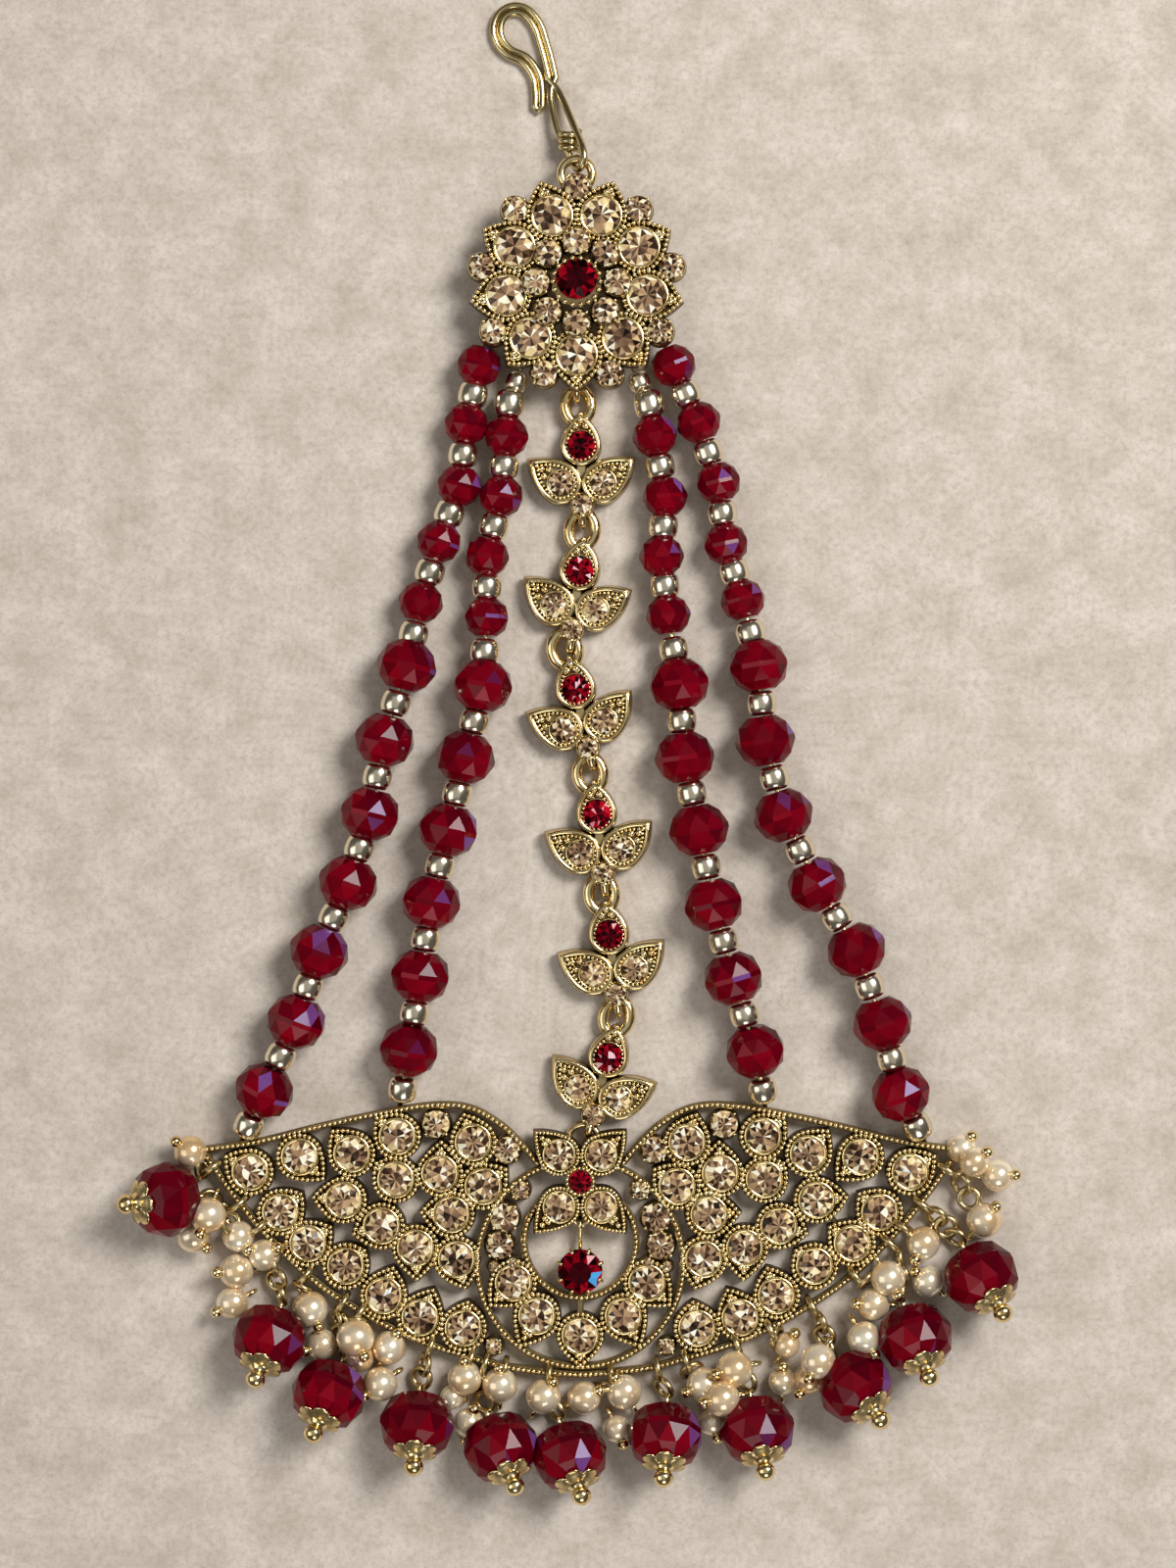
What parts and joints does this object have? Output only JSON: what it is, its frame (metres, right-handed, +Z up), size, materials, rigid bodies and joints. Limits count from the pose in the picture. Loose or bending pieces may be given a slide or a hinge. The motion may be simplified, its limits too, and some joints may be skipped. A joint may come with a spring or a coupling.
{
  "type": "jhoomar",
  "caption": "Side-head jewel: hair hook, round rosette, chain of leaf links between four strands of red beads, pierced crescent plaque, fringe of pearls and red drops",
  "frame": {"origin": "middle of the bounding box, on the surface that the jewel lies on", "axes": "+Y from the fringe to the hair hook, +X to the right seen from above, +Z up out of the front face"},
  "size_m": [0.1164, 0.196, 0.0097],
  "materials": {
    "gold_metal": "cast gold-tone metal, darkened in its recesses, beaded rims, with champagne stones in the settings",
    "red_glass": "deep red faceted glass, polished",
    "pearl": "cream pearl, soft lustre"
  },
  "bodies": {
    "root": {"hair_hook": "gold_metal", "rosette": "gold_metal", "leaf_link_1": "gold_metal", "leaf_link_2": "gold_metal", "leaf_link_3": "gold_metal", "leaf_link_4": "gold_metal", "leaf_link_5": "gold_metal", "leaf_link_6": "gold_metal", "plaque": "gold_metal", "centre_pendant": "gold_metal", "rosette_stone": "red_glass", "link_stone_1": "red_glass", "link_stone_2": "red_glass", "link_stone_3": "red_glass", "link_stone_4": "red_glass", "link_stone_5": "red_glass", "link_stone_6": "red_glass", "flower_stone": "red_glass", "pendant_stone": "red_glass", "strand_left_outer": "red_glass", "strand_left_inner": "red_glass", "strand_right_inner": "red_glass", "strand_right_outer": "red_glass", "red_drop_1": "red_glass", "red_drop_2": "red_glass", "red_drop_3": "red_glass", "red_drop_4": "red_glass", "red_drop_5": "red_glass", "red_drop_6": "red_glass", "red_drop_7": "red_glass", "red_drop_8": "red_glass", "red_drop_9": "red_glass", "red_drop_10": "red_glass", "red_drop_11": "red_glass", "pearl_cluster_1": "pearl", "pearl_cluster_2": "pearl", "pearl_cluster_3": "pearl", "pearl_cluster_4": "pearl", "pearl_cluster_5": "pearl", "pearl_cluster_6": "pearl", "pearl_cluster_7": "pearl", "pearl_cluster_8": "pearl", "pearl_cluster_9": "pearl", "pearl_cluster_10": "pearl", "pearl_cluster_11": "pearl", "pearl_cluster_12": "pearl"}
  },
  "joints": []
}
